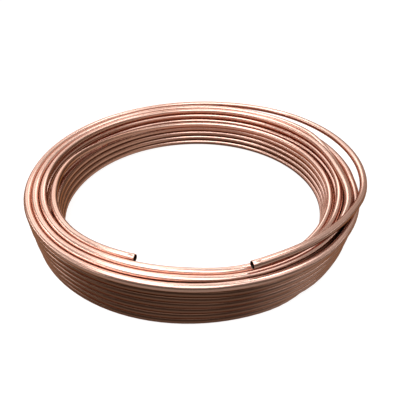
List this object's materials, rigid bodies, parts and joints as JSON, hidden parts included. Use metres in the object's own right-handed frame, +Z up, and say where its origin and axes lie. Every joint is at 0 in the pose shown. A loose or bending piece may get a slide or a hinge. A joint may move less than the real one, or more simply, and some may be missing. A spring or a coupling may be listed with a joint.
{
  "type": "copper tube coil",
  "caption": "Coil of bright soft copper tube, wound in layers and lying flat, with its outer end standing off and crossing the top and its inner end rising inside.",
  "frame": {"origin": "on the coil's axis, at the floor that the coil lies on", "axes": "+Z up along the coil's axis, -Y towards the side where both open ends lie"},
  "size_m": [0.5269, 0.5141, 0.0882],
  "materials": {
    "copper": "bright drawn copper"
  },
  "bodies": {
    "root": {"tube_coil": "copper"}
  },
  "joints": []
}
